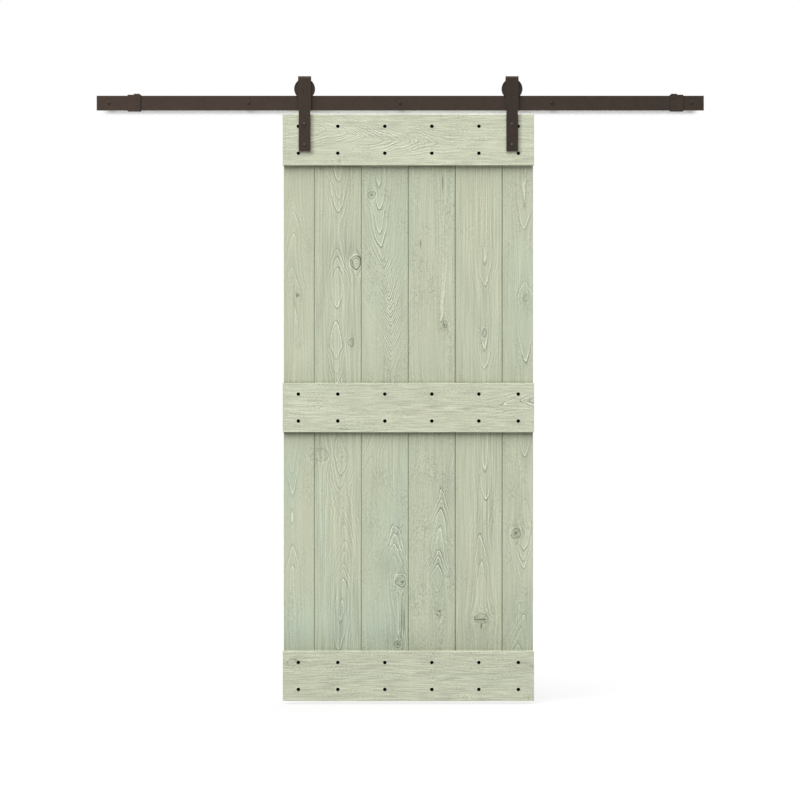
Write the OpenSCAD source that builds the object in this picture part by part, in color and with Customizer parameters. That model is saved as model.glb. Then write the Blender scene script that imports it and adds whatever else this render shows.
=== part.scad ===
// Sliding barn door: a boarded panel with three face bars, hung from a flat wall track
// by two bent strap hangers that carry grooved wheels. All sizes are in millimetres.
// X runs along the track, Y points into the wall and Z is up. The origin lies on the
// wall plane, on the axis of the middle wall bolt.

/* [Track] */
// Length of the flat track bar
rail_l = 2210; // [1900:1:2600]
// Height of the track bar
rail_h = 53.5; // [45:0.5:60]
// Thickness of the track bar
rail_t = 6; // [5:0.5:8]
// Length of the wall spacers, which hold the track off the wall
spacer_l = 35; // [32:0.5:60]
// Diameter of the wall spacers, which the wheels' rims pass above
spacer_d = 22; // [18:0.5:24]
// Distance of the outer wall bolts from the ends of the track
bolt_inset = 45; // [25:1:55]
// Distance of the inner wall bolts from the middle one
bolt_step = 552; // [450:1:650]
// Diameter of the wall bolts' smooth shank, in the track and spacers
lag_shank_d = 8.4; // [7:0.1:10]
// Diameter of the wall bolts' thread, beyond the wall plane
lag_thread_d = 8; // [6:0.1:10]
// Length of the wall bolts' full thread
lag_thread_l = 37; // [25:1:60]
// Length of the wall bolts' point
lag_tip_l = 8; // [5:0.5:12]
// Diameter of the wall bolts' domed heads
lag_head_d = 14; // [12:0.5:18]
// Height of the wall bolts' domed heads
lag_head_h = 4; // [3:0.1:5]
// Width across flats of the sockets in the wall bolts' heads
lag_socket_af = 4; // [3:0.5:6]
// Depth of the sockets in the wall bolts' heads
lag_socket_depth = 2.4; // [1.5:0.1:3]
// Radial clearance of bolts in the holes they pass through
bolt_fit = 0.2; // [0.05:0.05:0.4]

/* [Door] */
// Width of the door over its face bars
door_w = 914; // [850:1:1050]
// Height of the door
door_h = 2134; // [1900:1:2400]
// Gap between the track's lower edge and the top of the door
door_gap = 14.5; // [8:0.5:30]
// Place of the door's centre along the track, from the middle wall bolt
door_x = 29.5; // [-300:0.5:300]
// Face width of the four full boards
board_w = 171; // [150:1:185]
// Thickness of the boards
board_t = 19; // [16:0.5:22]
// Depth of the chamfers that make the V joint between boards
board_vee = 2.5; // [1:0.1:4]
// Gap between neighbouring boards behind the V joint
seam_gap = 1; // [0.4:0.1:2]
// Chamfer on the outer edges of the panel
edge_ease = 2; // [0.5:0.1:4]
// Thickness of the boards' tongues
tongue_t = 6; // [4:0.1:7]
// Length of the boards' tongues
tongue_l = 8; // [5:0.1:10]
// Clearance of a tongue in its groove
tongue_fit = 0.3; // [0.1:0.05:0.6]

/* [Face bars] */
// Thickness of the face bars
bar_t = 19; // [16:0.5:22]
// How far the face bars stand out past the boards at each side
bar_overhang = 3; // [0.5:0.5:10]
// Height of the top bar
top_bar_h = 186; // [150:0.5:240]
// Height of the middle bar
middle_bar_h = 180; // [150:1:240]
// Height of the bottom bar
bottom_bar_h = 181.5; // [150:0.5:240]
// Radius of the rounded front edges of the bars
bar_round = 2; // [1:0.1:6]
// Distance between the two rows of screws in each bar
screw_rows = 98; // [80:1:115]
// How far the outer screw columns lie outside the middle of the edge boards
screw_out = 2; // [0:0.5:10]
// Diameter of the screw heads
screw_head_d = 12.5; // [8:0.1:13]
// Diameter of the screw shanks
screw_d = 4.8; // [3.5:0.1:6]
// Length of the screws
screw_l = 31; // [24:0.5:31]
// Length of the screws' point
screw_tip_l = 6; // [4:0.5:8]
// Depth of the screw heads below the face of the bars
screw_sink = 0.3; // [0:0.05:1]
// Radial clearance of the screws in the wood
screw_fit = 0.1; // [0.05:0.05:0.3]
// Length of the cross recess in the screw heads
recess_l = 5.6; // [3:0.1:6.5]
// Width of the cross recess in the screw heads
recess_w = 1.3; // [0.8:0.1:2]
// Depth of the cross recess in the screw heads
recess_depth = 1.8; // [1:0.1:2.4]

/* [Hanger straps] */
// Distance of each strap's centre line from the outer screw column beside it
hanger_off = 22.5; // [17:0.5:28]
// Width of the straps where they lie on the door
strap_w = 42; // [36:0.5:50]
// Thickness of the straps
strap_t = 5; // [4.5:0.1:7]
// How much wider the head of a strap is, at each side
strap_step = 2.5; // [1:0.1:5]
// Height of the curved shoulder below the head of a strap
shoulder_h = 12; // [8:0.5:20]
// Distance of the shoulder's foot below the lower edge of the track
shoulder_drop = 6; // [2:0.5:12]
// Radius inside the bends of the straps
strap_bend = 5; // [3:0.1:8]
// How far the straps reach down the face of the door
strap_drop = 134; // [126:0.5:146]
// Radius of the straps' lower corners
strap_corner = 3; // [1:0.1:8]
// Depth of the upper strap bolts below the top of the door
strap_bolt_1 = 36.5; // [30:0.5:60]
// Depth of the lower strap bolts below the top of the door
strap_bolt_2 = 112; // [90:0.5:116]
// Diameter of the strap bolts
strap_bolt_d = 8; // [6:0.5:9]
// Diameter of the strap bolts' domed heads
strap_head_d = 15; // [13:0.5:24]
// Height of the strap bolts' domed heads
strap_head_h = 4; // [3:0.1:6]
// Diameter of the washers behind the door
washer_d = 20; // [18:0.5:26]
// Thickness of the washers behind the door
washer_t = 1.6; // [1:0.1:3]
// Width across flats of the nuts behind the door
nut_af = 13; // [12:0.5:15]
// Height of the nuts behind the door
nut_h = 5; // [3:0.1:6]
// How far a bolt stands out of its nut
bolt_end = 1; // [0.5:0.1:2]
// Chamfer on the corners of the nuts
nut_chamfer = 0.8; // [0.4:0.1:1.2]

/* [Wheels] */
// Diameter of the wheels over their flanges
wheel_d = 76; // [68:0.5:90]
// Diameter of the wheels at the bottom of the groove
groove_d = 49; // [46:0.5:56]
// Thickness of the wheels
wheel_t = 20; // [18:0.5:26]
// Running clearance between a wheel's groove and the top of the track
roll_gap = 0.3; // [0.1:0.05:0.5]
// Clearance between the track's sides and the bottom of the groove
groove_side = 0.6; // [0.4:0.05:1]
// How much each side of the groove opens out towards the rim
groove_flare = 1; // [0.5:0.1:1.4]
// Chamfer on the wheels' rims
rim_chamfer = 1.2; // [0.5:0.1:2]
// Width of the raised rim on the wheels' faces
rim_w = 5; // [3:0.5:8]
// Depth of the recessed ring in the wheels' faces
face_recess = 2; // [1:0.1:2.4]
// Wall of the hub round the bearing seat
hub_wall = 4; // [2.5:0.1:6]
// Gap between a wheel and each leg of its strap
wheel_side = 2.5; // [1:0.1:5]
// Gap between the wheels' rims and the tops of the straps
top_gap = 3; // [1:0.1:8]
// Diameter of the axle bolts
axle_d = 10; // [9:0.1:11]
// Diameter of the axle bolts' plain heads, flush in the straps
axle_head_d = 18; // [15:0.5:18.5]
// Radial clearance between an axle and the bearing and bushes on it
axle_fit = 0.05; // [0.01:0.01:0.1]
// Width across flats of the axle nuts
axle_nut_af = 17; // [15:0.5:19]
// Height of the axle nuts
axle_nut_h = 6; // [4:0.1:7]
// Diameter of the bushes between the bearings and the straps
bush_d = 14; // [12.5:0.1:15.5]

/* [Bearings] */
// Outer diameter of the ball bearings
bearing_d = 30; // [28:0.5:32]
// Width of the ball bearings
bearing_w = 9; // [7:0.5:11]
// Diameter of the balls
ball_d = 4.6; // [4:0.1:5]
// Number of balls in each bearing
ball_n = 7; // [5:1:8]
// Gap between a ball and its races
race_gap = 0.15; // [0.05:0.05:0.25]
// Distance of each ring's edge from the circle of the balls' centres
race_land = 1.4; // [1:0.1:1.8]
// Height of the shoulder that the outer ring sits against in the wheel
seat_step = 3; // [2:0.1:4]
// Radial clearance of the outer ring in its seat
seat_fit = 0.02; // [0.01:0.01:0.05]

/* [End stops] */
// Distance of the left stop's centre from the left end of the track
stop_left_inset = 135; // [110:1:300]
// Distance of the right stop's centre from the right end of the track
stop_right_inset = 97; // [90:1:300]
// Length of the stops along the track
stop_w = 45; // [38:0.5:55]
// Thickness of the stops' walls in front of and behind the track
stop_t = 4; // [3:0.1:5]
// How far the stops reach above and below the track
stop_lip = 3.5; // [2.5:0.1:5]
// Radius of the stops' corners
stop_round = 2; // [1:0.1:2.4]
// Length of the raised step at the inner end of each stop
step_w = 22; // [15:0.5:30]
// Height of the raised step above the track
step_h = 7; // [6:0.1:10]
// Thickness of the rubber pads on the stops
pad_t = 5; // [3:0.1:8]
// Height of the rubber pads above the track
pad_rise = 3.2; // [2.5:0.1:5]
// Thickness of the rubber pads in front of and behind the track
pad_side = 3.2; // [2:0.1:4]
// Diameter of the stops' set screws
set_d = 5; // [4:0.5:6]
// Distance of the set screws above and below the middle of the track
set_z = 13.5; // [8:0.5:18]
// Distance of the set screws from the inner ends of the stops
set_inset = 11; // [6:0.5:16]
// Width across flats of the sockets in the set screws
set_socket_af = 2.5; // [1.5:0.1:3]
// Depth of the sockets in the set screws
set_socket_depth = 2; // [1:0.1:2.6]

/* [Hidden] */
$fn = 72;
bronze = [0.28, 0.24, 0.21];
steel = [0.62, 0.62, 0.60];
black = [0.06, 0.06, 0.06];
bar_colour = [0.80, 0.81, 0.72];
board_colour = [0.75, 0.77, 0.67];

// How far a cutting shape runs past the face that it cuts
cut = 1;

// Depths, from the wall towards the front
rail_back = -spacer_l;
rail_front = rail_back - rail_t;
track_y = rail_back - rail_t / 2;
strap_gap = wheel_t + 2 * wheel_side;
strap_back = track_y - strap_gap / 2;
strap_front = strap_back - strap_t;
rear_leg_front = track_y + strap_gap / 2;
rear_leg_back = rear_leg_front + strap_t;
bar_front = strap_back;
board_front = bar_front + bar_t;
door_back = board_front + board_t;
screw_front = bar_front + screw_sink;
screw_back = screw_front + screw_l;
screw_head_h = (screw_head_d - screw_d) / 2;
axle_head_h = (axle_head_d - axle_d) / 2;
nut_front = door_back + washer_t;
nut_back = nut_front + nut_h;

// Heights
rail_top = rail_h / 2;
wheel_z = rail_top + groove_d / 2 + roll_gap;
strap_top = wheel_z + wheel_d / 2 + top_gap + strap_t;
door_top = -rail_h / 2 - door_gap;
door_bottom = door_top - door_h;
strap_bottom = door_top - strap_drop;
shoulder_z = -rail_h / 2 - shoulder_drop;
strap_bolt_zs = [door_top - strap_bolt_1, door_top - strap_bolt_2];
top_bar_z = door_top - top_bar_h / 2;
middle_bar_z = (door_top + door_bottom) / 2;
bottom_bar_z = door_bottom + bottom_bar_h / 2;
bar_zs = [top_bar_z, middle_bar_z, bottom_bar_z];

// Places along the track
bolt_outer_x = rail_l / 2 - bolt_inset;
wall_bolt_xs = [-bolt_outer_x, -bolt_step, 0, bolt_step, bolt_outer_x];
panel_w = door_w - 2 * bar_overhang;
board_edges = [
    -panel_w / 2, -2 * board_w, -board_w, 0, board_w, 2 * board_w, panel_w / 2
];
last_board = len(board_edges) - 2;
board_mids = [for (i = [0 : last_board]) (board_edges[i] + board_edges[i + 1]) / 2];
screw_xs = [
    for (i = [0 : last_board])
        board_mids[i] + (i == 0 ? -screw_out : i == last_board ? screw_out : 0)
];
hanger_xs = [
    door_x + screw_xs[0] + hanger_off,
    door_x + screw_xs[last_board] - hanger_off
];
stop_xs = [-rail_l / 2 + stop_left_inset, rail_l / 2 - stop_right_inset];

// Strap outline
head_w = strap_w + 2 * strap_step;
shoulder_r = (shoulder_h * shoulder_h + strap_step * strap_step) / (2 * strap_step);
rear_leg_end = wheel_z - head_w / 2;

// Ball circle
ball_circle_r = (bearing_d + axle_d) / 4;
race_r = ball_d / 2 + race_gap;
shoulder_bore_r = bearing_d / 2 - seat_step;

// Shapes along a depth axis: local Z is the depth behind the front, towards the wall
module into_wall(x, z) {
    translate([x, 0, z]) rotate([-90, 0, 0]) children();
}

module rod(d, from, to) {
    translate([0, 0, from]) cylinder(d = d, h = to - from);
}

module hex_rod(af, from, to) {
    translate([0, 0, from]) cylinder(d = af / cos(30), h = to - from, $fn = 6);
}

// Outlines drawn on the front view or the side view, run through the depth or the width
module front_extrude(from, to) {
    translate([0, to, 0]) rotate([90, 0, 0]) linear_extrude(to - from) children();
}

module side_extrude(from, to) {
    translate([from, 0, 0]) rotate([90, 0, 90]) linear_extrude(to - from) children();
}

// What a round of radius r takes off the lower left corner of an outline
module corner_waste(r) {
    difference() {
        translate([-cut, -cut]) square(r + cut);
        translate([r, r]) circle(r);
    }
}

module dome_head(d, h, seat) {
    ball_r = (d * d / 4 + h * h) / (2 * h);
    intersection() {
        translate([0, 0, seat - h + ball_r]) sphere(ball_r);
        rod(2 * d, seat - h - cut, seat);
    }
}

module hex_nut(af, bore, from, to) {
    corner_r = af / cos(30) / 2;
    difference() {
        intersection() {
            hex_rod(af, from, to);
            rotate_extrude() polygon([
                [0, from], [corner_r - nut_chamfer, from], [corner_r, from + nut_chamfer],
                [corner_r, to - nut_chamfer], [corner_r - nut_chamfer, to], [0, to]
            ]);
        }
        rod(bore, from - cut, to + cut);
    }
}

// Track
module track_rail() {
    color(bronze) difference() {
        translate([-rail_l / 2, rail_front, -rail_h / 2]) cube([rail_l, rail_t, rail_h]);
        for (x = wall_bolt_xs)
            into_wall(x, 0) rod(lag_shank_d + 2 * bolt_fit, rail_front - cut, rail_back + cut);
    }
}

module wall_spacer(i) {
    color(bronze) into_wall(wall_bolt_xs[i], 0) difference() {
        rod(spacer_d, rail_back, 0);
        rod(lag_shank_d + 2 * bolt_fit, rail_back - cut, cut);
    }
}

module lag_bolt() {
    difference() {
        union() {
            dome_head(lag_head_d, lag_head_h, rail_front);
            rod(lag_shank_d, rail_front, 0);
            rod(lag_thread_d, 0, lag_thread_l);
            translate([0, 0, lag_thread_l])
                cylinder(d1 = lag_thread_d, d2 = 0, h = lag_tip_l);
        }
        hex_rod(lag_socket_af, rail_front - lag_head_h - cut,
                rail_front - lag_head_h + lag_socket_depth);
    }
}

module lag_bolts() {
    color(bronze) for (x = wall_bolt_xs) into_wall(x, 0) lag_bolt();
}

// End stops, drawn for the left end and mirrored for the right one
module at_stop(side) {
    translate([stop_xs[side], 0, 0]) mirror([side, 0, 0]) children();
}

module stop_outline() {
    low = -rail_top - stop_lip;
    high = rail_top + stop_lip;
    step_x = stop_w / 2 - step_w;
    difference() {
        union() {
            translate([-stop_w / 2, low]) square([stop_w, high - low]);
            translate([step_x, low]) square([step_w, rail_top + step_h - low]);
        }
        translate([-stop_w / 2, low]) corner_waste(stop_round);
        translate([stop_w / 2, low]) mirror([1, 0]) corner_waste(stop_round);
        translate([-stop_w / 2, high]) mirror([0, 1]) corner_waste(stop_round);
        translate([step_x, rail_top + step_h]) mirror([0, 1]) corner_waste(stop_round);
        translate([stop_w / 2, rail_top + step_h]) rotate(180) corner_waste(stop_round);
    }
}

module stop_body(side) {
    color(bronze) at_stop(side) difference() {
        front_extrude(rail_front - stop_t, rail_back + stop_t) stop_outline();
        translate([-stop_w / 2 - cut, rail_front, -rail_h - stop_lip])
            cube([stop_w + 2 * cut, rail_t, rail_h + stop_lip + rail_top]);
        for (z = [-set_z, set_z])
            into_wall(stop_w / 2 - set_inset, z)
                rod(set_d + 2 * bolt_fit, rail_front - stop_t - cut, rail_front + cut);
    }
}

module stop_bumper(side) {
    color(black) at_stop(side) side_extrude(stop_w / 2, stop_w / 2 + pad_t) difference() {
        translate([rail_front - pad_side, -rail_top - pad_rise])
            square([rail_t + 2 * pad_side, rail_h + 2 * pad_rise]);
        translate([rail_front, -rail_top - pad_rise - cut])
            square([rail_t, rail_h + pad_rise + cut]);
    }
}

module stop_set_screws() {
    color(black) for (side = [0, 1], z = [-set_z, set_z])
        at_stop(side) into_wall(stop_w / 2 - set_inset, z) difference() {
            rod(set_d, rail_front - stop_t, rail_front);
            hex_rod(set_socket_af, rail_front - stop_t - cut,
                    rail_front - stop_t + set_socket_depth);
        }
}

// Boards: tongue on the right edge and groove on the left, plain edges at the panel's sides
function right_edge(i) =
    let (x = board_edges[i + 1], shoulder = x - seam_gap / 2,
         near = (board_t - tongue_t) / 2, far = (board_t + tongue_t) / 2)
    i == last_board
    ? [[x - edge_ease, 0], [x, edge_ease], [x, board_t - edge_ease], [x - edge_ease, board_t]]
    : [[shoulder - board_vee, 0], [shoulder, board_vee], [shoulder, near],
       [shoulder + tongue_l, near], [shoulder + tongue_l, far], [shoulder, far],
       [shoulder, board_t]];

function left_edge(i) =
    let (x = board_edges[i], shoulder = x + seam_gap / 2,
         depth = tongue_l - seam_gap + tongue_fit,
         near = (board_t - tongue_t) / 2 - tongue_fit,
         far = (board_t + tongue_t) / 2 + tongue_fit)
    i == 0
    ? [[x + edge_ease, board_t], [x, board_t - edge_ease], [x, edge_ease], [x + edge_ease, 0]]
    : [[shoulder, board_t], [shoulder, far], [shoulder + depth, far],
       [shoulder + depth, near], [shoulder, near], [shoulder, board_vee],
       [shoulder + board_vee, 0]];

module strap_bolt_holes(from, to) {
    for (x = hanger_xs, z = strap_bolt_zs)
        into_wall(x, z) rod(strap_bolt_d + 2 * bolt_fit, from - cut, to + cut);
}

module board(i) {
    color(board_colour) difference() {
        translate([door_x, board_front, door_bottom])
            linear_extrude(door_h) polygon(concat(right_edge(i), left_edge(i)));
        for (bar_z = bar_zs, row = [-0.5, 0.5])
            into_wall(door_x + screw_xs[i], bar_z + row * screw_rows)
                rod(screw_d + 2 * screw_fit, board_front - cut, screw_back);
        if (i == 0 || i == last_board) strap_bolt_holes(board_front, door_back);
    }
}

// Face bars with rounded front edges and sunk screw holes
module screw_hole() {
    head_r = screw_head_d / 2 + screw_fit;
    shank_r = screw_d / 2 + screw_fit;
    rotate_extrude() polygon([
        [0, bar_front - cut], [head_r, bar_front - cut], [head_r, screw_front],
        [shank_r, screw_front + screw_head_h], [shank_r, board_front + cut],
        [0, board_front + cut]
    ]);
}

module face_bar(z, h) {
    low = z - h / 2;
    high = z + h / 2;
    difference() {
        side_extrude(door_x - door_w / 2, door_x + door_w / 2) difference() {
            translate([bar_front, low]) square([bar_t, h]);
            translate([bar_front, low]) corner_waste(bar_round);
            translate([bar_front, high]) mirror([0, 1]) corner_waste(bar_round);
        }
        for (x = screw_xs, row = [-0.5, 0.5])
            into_wall(door_x + x, z + row * screw_rows) screw_hole();
    }
}

module top_bar() {
    color(bar_colour) difference() {
        face_bar(top_bar_z, top_bar_h);
        strap_bolt_holes(bar_front, board_front);
    }
}

module middle_bar() {
    color(bar_colour) face_bar(middle_bar_z, middle_bar_h);
}

module bottom_bar() {
    color(bar_colour) face_bar(bottom_bar_z, bottom_bar_h);
}

// Flat-head screws with a cross recess
module wood_screw() {
    difference() {
        rotate_extrude() polygon([
            [0, screw_front], [screw_head_d / 2, screw_front],
            [screw_d / 2, screw_front + screw_head_h],
            [screw_d / 2, screw_back - screw_tip_l], [0, screw_back]
        ]);
        for (turn = [45, 135])
            rotate(turn) translate([-recess_l / 2, -recess_w / 2, screw_front - cut])
                cube([recess_l, recess_w, recess_depth + cut]);
    }
}

module bar_screws(z) {
    color(black) for (x = screw_xs, row = [-0.5, 0.5])
        into_wall(door_x + x, z + row * screw_rows) wood_screw();
}

// Hanger straps: a flat bar bent over the wheel, wide at the head and narrower on the door
module strap_side_view() {
    outer_r = strap_bend + strap_t;
    inner_top = strap_top - strap_t;
    difference() {
        translate([strap_front, strap_bottom])
            square([rear_leg_back - strap_front, strap_top - strap_bottom]);
        difference() {
            translate([strap_back, strap_bottom - cut])
                square([strap_gap, inner_top - strap_bottom + cut]);
            translate([strap_back, inner_top]) mirror([0, 1]) corner_waste(strap_bend);
            translate([rear_leg_front, inner_top]) rotate(180) corner_waste(strap_bend);
        }
        translate([strap_back + cut, strap_bottom - cut])
            square([rear_leg_back - strap_back, rear_leg_end - strap_bottom + cut]);
        translate([strap_front, strap_top]) mirror([0, 1]) corner_waste(outer_r);
        translate([rear_leg_back, strap_top]) rotate(180) corner_waste(outer_r);
    }
}

// What is cut off the right side of the lower strap, below the head
module strap_narrowing() {
    translate([strap_w / 2, strap_bottom - cut])
        square([head_w, shoulder_z - strap_bottom + cut]);
    translate([strap_w / 2 + shoulder_r, shoulder_z]) circle(shoulder_r);
    translate([strap_w / 2, strap_bottom]) mirror([1, 0]) corner_waste(strap_corner);
}

module hanger_strap(side) {
    color(bronze) translate([hanger_xs[side], 0, 0]) difference() {
        side_extrude(-head_w / 2, head_w / 2) strap_side_view();
        for (flip = [0, 1])
            mirror([flip, 0, 0]) front_extrude(strap_front - cut, strap_back + cut)
                strap_narrowing();
        front_extrude(rear_leg_front - cut, rear_leg_back + cut) difference() {
            translate([-head_w, rear_leg_end - cut]) square([2 * head_w, head_w / 2 + cut]);
            translate([0, wheel_z]) circle(d = head_w);
        }
        into_wall(0, wheel_z) {
            rod(axle_d + 2 * bolt_fit, strap_front - cut, rear_leg_back + cut);
            translate([0, 0, strap_front])
                cylinder(d1 = axle_head_d + 2 * bolt_fit, d2 = axle_d + 2 * bolt_fit,
                         h = axle_head_h);
        }
        for (z = strap_bolt_zs)
            into_wall(0, z) rod(strap_bolt_d + 2 * bolt_fit, strap_front - cut, strap_back + cut);
    }
}

// Bolts, washers and nuts that clamp the straps to the door
module at_strap_bolts() {
    for (x = hanger_xs, z = strap_bolt_zs) into_wall(x, z) children();
}

module strap_bolts() {
    color(bronze) at_strap_bolts() {
        dome_head(strap_head_d, strap_head_h, strap_front);
        rod(strap_bolt_d, strap_front, nut_back + bolt_end);
    }
}

module strap_washers() {
    color(steel) at_strap_bolts() difference() {
        rod(washer_d, door_back, nut_front);
        rod(strap_bolt_d + 2 * bolt_fit, door_back - cut, nut_front + cut);
    }
}

module strap_nuts() {
    color(steel) at_strap_bolts()
        hex_nut(nut_af, strap_bolt_d + 2 * axle_fit, nut_front, nut_back);
}

// Wheels, axles and bearings
module wheel(side) {
    half_t = wheel_t / 2;
    rim_r = wheel_d / 2;
    groove_r = groove_d / 2;
    groove_half = rail_t / 2 + groove_side;
    recess_floor = half_t - face_recess;
    hub_r = bearing_d / 2 + hub_wall;
    recess_r = rim_r - rim_w;
    seat_end = bearing_w / 2;
    color(bronze) into_wall(hanger_xs[side], wheel_z) translate([0, 0, track_y])
        rotate_extrude() polygon([
            [bearing_d / 2, -half_t], [hub_r, -half_t], [hub_r, -recess_floor],
            [recess_r, -recess_floor], [recess_r, -half_t], [rim_r - rim_chamfer, -half_t],
            [rim_r, -half_t + rim_chamfer], [rim_r, -groove_half - groove_flare],
            [groove_r, -groove_half], [groove_r, groove_half],
            [rim_r, groove_half + groove_flare], [rim_r, half_t - rim_chamfer],
            [rim_r - rim_chamfer, half_t], [recess_r, half_t], [recess_r, recess_floor],
            [hub_r, recess_floor], [hub_r, half_t], [shoulder_bore_r, half_t],
            [shoulder_bore_r, seat_end], [bearing_d / 2, seat_end]
        ]);
}

module bearing_ring(side, inner_r, outer_r) {
    color(steel) into_wall(hanger_xs[side], wheel_z) translate([0, 0, track_y])
        rotate_extrude() difference() {
            translate([inner_r, -bearing_w / 2]) square([outer_r - inner_r, bearing_w]);
            translate([ball_circle_r, 0]) circle(race_r);
        }
}

module bearing_outer(side) {
    bearing_ring(side, ball_circle_r + race_land, bearing_d / 2 - seat_fit);
}

module bearing_inner(side) {
    bearing_ring(side, axle_d / 2 + axle_fit, ball_circle_r - race_land);
}

module bearing_balls(side) {
    color(steel) into_wall(hanger_xs[side], wheel_z)
        for (i = [0 : ball_n - 1])
            rotate(i * 360 / ball_n) translate([ball_circle_r, 0, track_y]) sphere(d = ball_d);
}

module axle_bush(side, from, to) {
    color(steel) into_wall(hanger_xs[side], wheel_z) difference() {
        rod(bush_d, from, to);
        rod(axle_d + 2 * axle_fit, from - cut, to + cut);
    }
}

module axle_bolt(side) {
    color(bronze) into_wall(hanger_xs[side], wheel_z) {
        translate([0, 0, strap_front])
            cylinder(d1 = axle_head_d, d2 = axle_d, h = axle_head_h);
        rod(axle_d, strap_front, rear_leg_back + axle_nut_h + bolt_end);
    }
}

module axle_nut(side) {
    color(steel) into_wall(hanger_xs[side], wheel_z)
        hex_nut(axle_nut_af, axle_d + 2 * axle_fit, rear_leg_back, rear_leg_back + axle_nut_h);
}

side_names = ["left", "right"];

track_rail();
lag_bolts();
stop_set_screws();
for (i = [0 : len(wall_bolt_xs) - 1])
    wall_spacer(i);
for (i = [0 : last_board])
    board(i);
top_bar();
middle_bar();
bottom_bar();
bar_screws(top_bar_z);  // top_bar_screws
bar_screws(middle_bar_z);  // middle_bar_screws
bar_screws(bottom_bar_z);  // bottom_bar_screws
strap_bolts();
strap_washers();
strap_nuts();
for (side = [0, 1]) {
    stop_body(side);
    stop_bumper(side);
    hanger_strap(side);
    axle_bolt(side);
    axle_nut(side);
    axle_bush(side, strap_back, track_y - bearing_w / 2);
    axle_bush(side, track_y + bearing_w / 2, rear_leg_front);
    bearing_inner(side);
    bearing_outer(side);
    bearing_balls(side);
    wheel(side);
}
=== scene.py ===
"""Sliding barn door: brushed, stained pine on dark bronze flat-track hardware.

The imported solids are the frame. The boards and face bars are replaced by meshes with the wood's
own relief, worked out from a ring field, and every other solid keeps its shape and gets its finish.
"""

import math

import bmesh
import bpy
import numpy as np
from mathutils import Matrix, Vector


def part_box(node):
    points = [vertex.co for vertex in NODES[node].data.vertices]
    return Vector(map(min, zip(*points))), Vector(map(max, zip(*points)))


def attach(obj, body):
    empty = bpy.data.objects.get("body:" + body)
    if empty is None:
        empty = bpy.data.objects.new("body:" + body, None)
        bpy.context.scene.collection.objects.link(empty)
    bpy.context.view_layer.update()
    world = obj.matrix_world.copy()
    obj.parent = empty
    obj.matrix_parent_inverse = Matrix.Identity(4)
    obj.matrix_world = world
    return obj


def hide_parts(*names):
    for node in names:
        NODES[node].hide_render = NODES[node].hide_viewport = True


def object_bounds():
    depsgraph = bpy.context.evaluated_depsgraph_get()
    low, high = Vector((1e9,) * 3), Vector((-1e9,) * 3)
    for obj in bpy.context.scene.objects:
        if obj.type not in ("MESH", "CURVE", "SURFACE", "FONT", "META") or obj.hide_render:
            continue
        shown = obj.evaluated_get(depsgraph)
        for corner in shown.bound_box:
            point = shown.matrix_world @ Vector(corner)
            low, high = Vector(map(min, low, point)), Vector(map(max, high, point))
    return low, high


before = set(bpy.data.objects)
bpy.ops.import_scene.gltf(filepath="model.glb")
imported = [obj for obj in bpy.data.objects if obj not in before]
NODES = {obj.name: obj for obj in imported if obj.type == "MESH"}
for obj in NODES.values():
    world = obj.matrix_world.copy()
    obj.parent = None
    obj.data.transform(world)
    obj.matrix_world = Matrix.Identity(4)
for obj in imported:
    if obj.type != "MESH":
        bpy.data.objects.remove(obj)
CAD_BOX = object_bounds()
BARS = ("top_bar", "middle_bar", "bottom_bar")
MM = 0.001
X, Y, Z = 0, 1, 2


def length_of(node, axis):
    """Length of a node along an axis, in whole millimetres."""
    low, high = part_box(node)
    return round((high[axis] - low[axis]) / MM)


# Wood grain, in millimetres
# Pairs begin with a place along the piece. Then rings has the ring that tops out there, so that a
# rising count draws a V, axis where the middle of the rings runs across, width how far from the axis
# ring lines show, and shade how much lighter the wood is.
# Spots begin with their place across and along, half width and half length. Then knots has how far
# the rings part round them and darkness, tints warmth (below zero is cool), stains lightness (below
# zero is darker), and combed how much stronger the fibres are.
# lines, streak, stipple: how strong the ring lines, the fibres and the small dark dots are
# Boards count along from the top of the door and across from their own middle, to the right.
# Bars count along from their left end and across from their own middle, downwards.
# What a piece leaves out is as in PLAIN_GRAIN.
BOTTOM = length_of("board_1", Z)
RIGHT = length_of("top_bar", X)
# Its shade is painted shade that darkens the boards towards the bottom, most just above the bottom bar
PLAIN_GRAIN = dict(
    lines=1.0, cracks=[], combed=[],
    shade=[(0, 0.0), (900, 0.0), (1150, -0.02), (1400, -0.01), (1700, -0.025), (1850, -0.05),
           (1950, -0.11), (BOTTOM, -0.11)],
)
GRAIN = {}
GRAIN["board_1"] = dict(
    lines=0.8, streak=0.22, stipple=0.1, width=[(0, 24), (BOTTOM, 24)],
    stains=[(-30, 385, 25, 110, 0.05), (5, 870, 50, 60, 0.07), (0, 1600, 60, 250, 0.045),
            (10, 1840, 50, 70, 0.06), (-28, 1440, 6, 110, 0.06)],
    rings=[(0, 3.9), (300, 3.25), (355, 3), (410, 2.75), (510, 2.25), (561, 2), (620, 1.7), (760, 1.5),
           (1290, 1.5), (1350, 1.95), (1410, 2.04), (1470, 1.95), (1530, 2.05), (1590, 1.95), (1650, 1.5),
           (BOTTOM, 1.45)],
    axis=[(0, -18), (355, -23), (561, -28), (900, -12), (1250, -22), (1350, -28), (1600, -29),
          (BOTTOM, -14)],
    knots=[(-9, 659, 7, 8, 0.8, 0.75), (54, 1245, 18, 16, 0.6, 0.25)],
    cracks=[(-9, 660, 3, 4)],
    tints=[(-28, 1330, 26, 90, -1.0), (18, 1420, 26, 130, 0.9), (10, 480, 60, 260, 0.7),
           (0, 1870, 70, 100, -1.6), (0, 240, 70, 130, 0.5)],
)
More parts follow.
